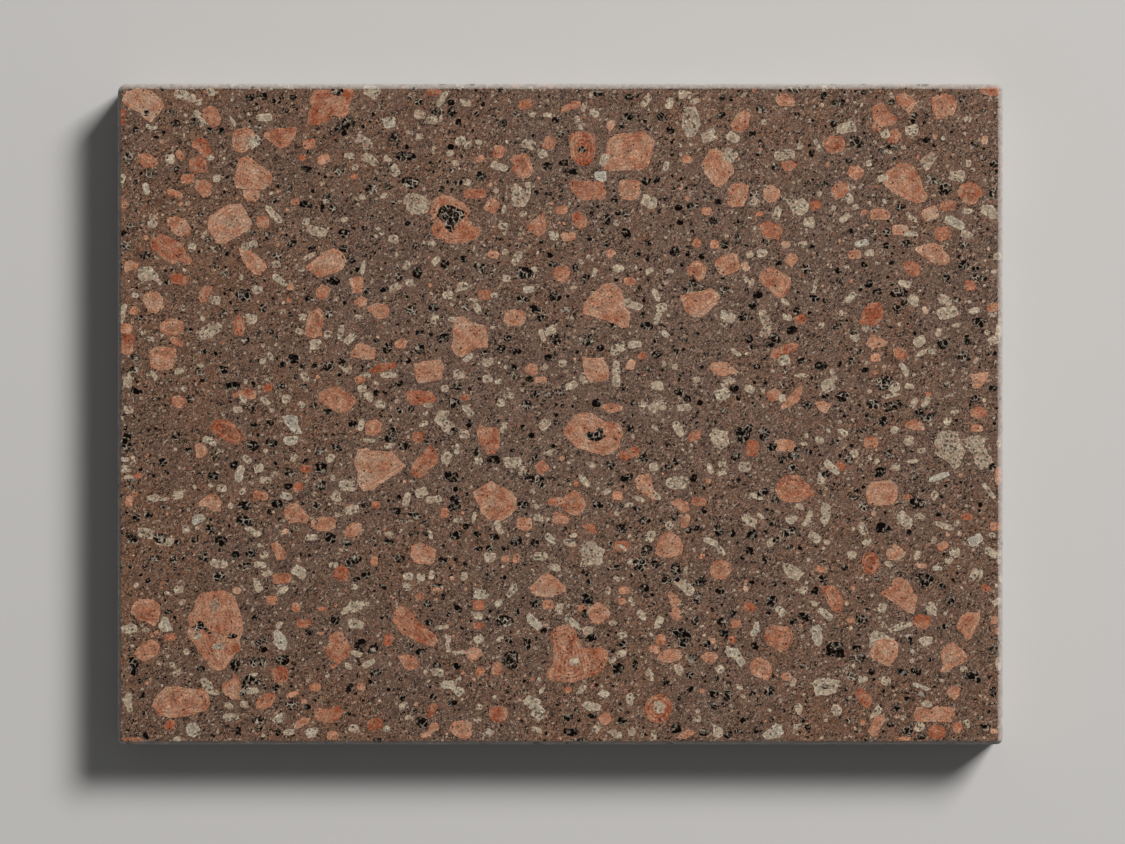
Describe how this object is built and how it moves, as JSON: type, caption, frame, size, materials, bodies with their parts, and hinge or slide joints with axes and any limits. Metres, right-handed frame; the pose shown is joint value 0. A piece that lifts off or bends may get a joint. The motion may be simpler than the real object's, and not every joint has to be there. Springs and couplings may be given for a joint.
{
  "type": "rhyolite rock sample slab",
  "caption": "Rectangular sawn slab of porphyritic rhyolite with a honed face showing salmon and cream feldspar crystals, ground arrises and a few small edge chips.",
  "frame": {"origin": "middle of the sawn back, on the surface that the slab lies on", "axes": "+X along the slab's length, +Y along its width, +Z out of the honed face"},
  "size_m": [0.201, 0.15, 0.015],
  "materials": {
    "honed_rhyolite": "honed, satin, unpolished stone; sawn sides and back rougher and paler"
  },
  "bodies": {
    "root": {"rhyolite_slab": "honed_rhyolite"}
  },
  "joints": []
}
